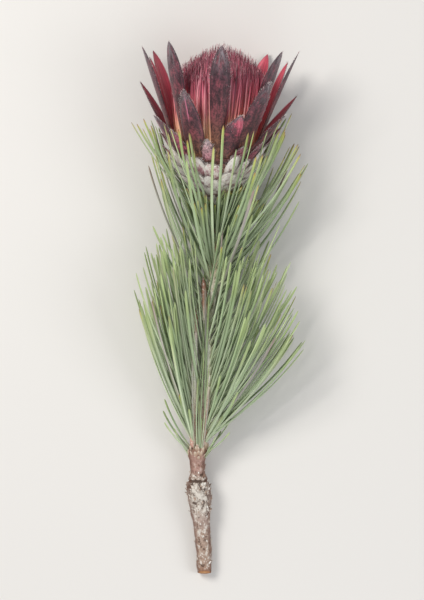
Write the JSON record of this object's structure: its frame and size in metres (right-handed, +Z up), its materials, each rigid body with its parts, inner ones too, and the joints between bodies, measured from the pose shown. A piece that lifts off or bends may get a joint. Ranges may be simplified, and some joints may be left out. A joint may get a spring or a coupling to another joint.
{
  "type": "cut protea flower",
  "caption": "Cut protea lying on its side: a cup of wine-red bracts round a pink floret mass, silvery basal scales, a brush of needle leaves and a bare woody stem.",
  "frame": {"origin": "on the surface that the flower lies on, under the middle of its box", "axes": "+Y along the stem from the cut end to the flower head, +Z up from the surface, +X to the right seen from above"},
  "size_m": [0.141, 0.4244, 0.1017],
  "materials": {
    "bark": "dry flaky bark, pale grey-beige with pinkish stretches",
    "needle_leaf": "satin grey-green leaf, yellower towards a brown point",
    "scale_down": "silky silver-white down over mauve pink",
    "bract": "satin wine red outside with a silver bloom, bright pink-red inside",
    "floret": "silky pink-red fibres with dark woolly tips"
  },
  "bodies": {
    "root": {"woody_stem": "bark", "flowering_shoot": "needle_leaf", "left_side_shoot": "needle_leaf", "right_side_shoot": "needle_leaf", "basal_scales": "scale_down", "red_bracts": "bract", "floret_mass": "floret"}
  },
  "joints": []
}
